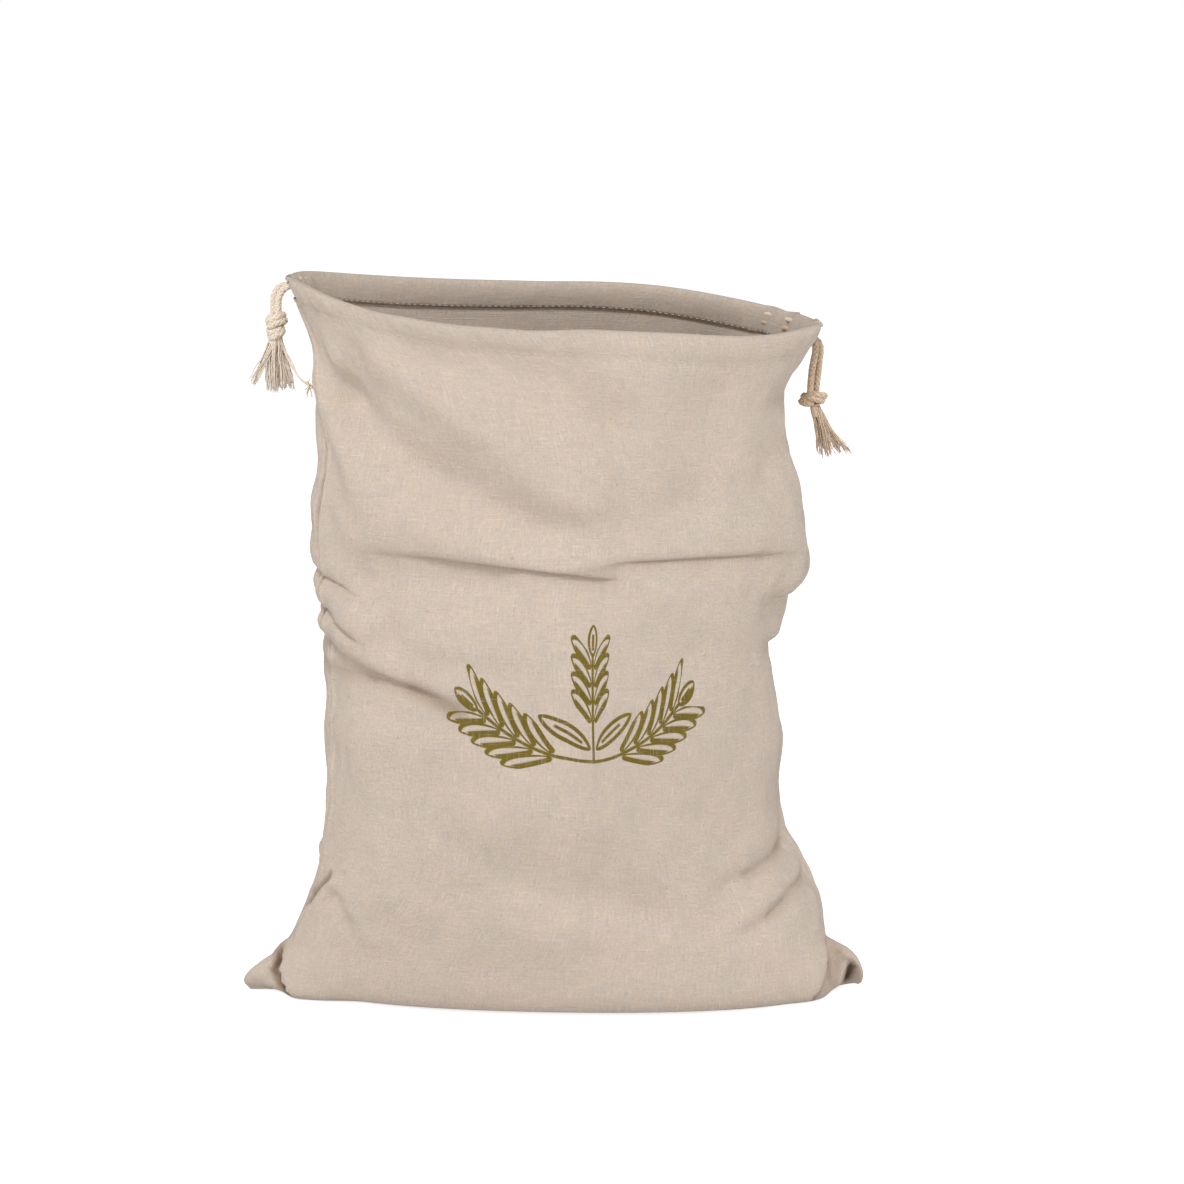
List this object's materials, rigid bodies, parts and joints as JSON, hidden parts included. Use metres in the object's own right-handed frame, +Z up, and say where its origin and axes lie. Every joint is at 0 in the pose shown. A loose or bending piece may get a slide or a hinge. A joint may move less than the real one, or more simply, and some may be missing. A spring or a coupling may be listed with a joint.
{
  "type": "drawstring bread bag",
  "caption": "Natural linen drawstring bread bag standing open and slumped, with knotted cotton cords that end in tassels.",
  "frame": {"origin": "middle of the bag's footprint on the floor it stands on, at the middle of the bag cloth's bounding box", "axes": "+X towards the right side seam seen from the printed front, +Y from the printed front towards the back, +Z up out of the mouth"},
  "size_m": [0.3237, 0.167, 0.3759],
  "materials": {
    "linen": "plain woven natural linen with flecks",
    "left_cord_cotton": "twisted natural cotton cord",
    "right_cord_cotton": "twisted natural cotton cord"
  },
  "bodies": {
    "root": {"bag_cloth": "linen", "cord_left": "left_cord_cotton", "cord_right": "right_cord_cotton", "knot_left": "left_cord_cotton", "knot_right": "right_cord_cotton", "tassel_left": "left_cord_cotton", "tassel_right": "right_cord_cotton"}
  },
  "joints": []
}
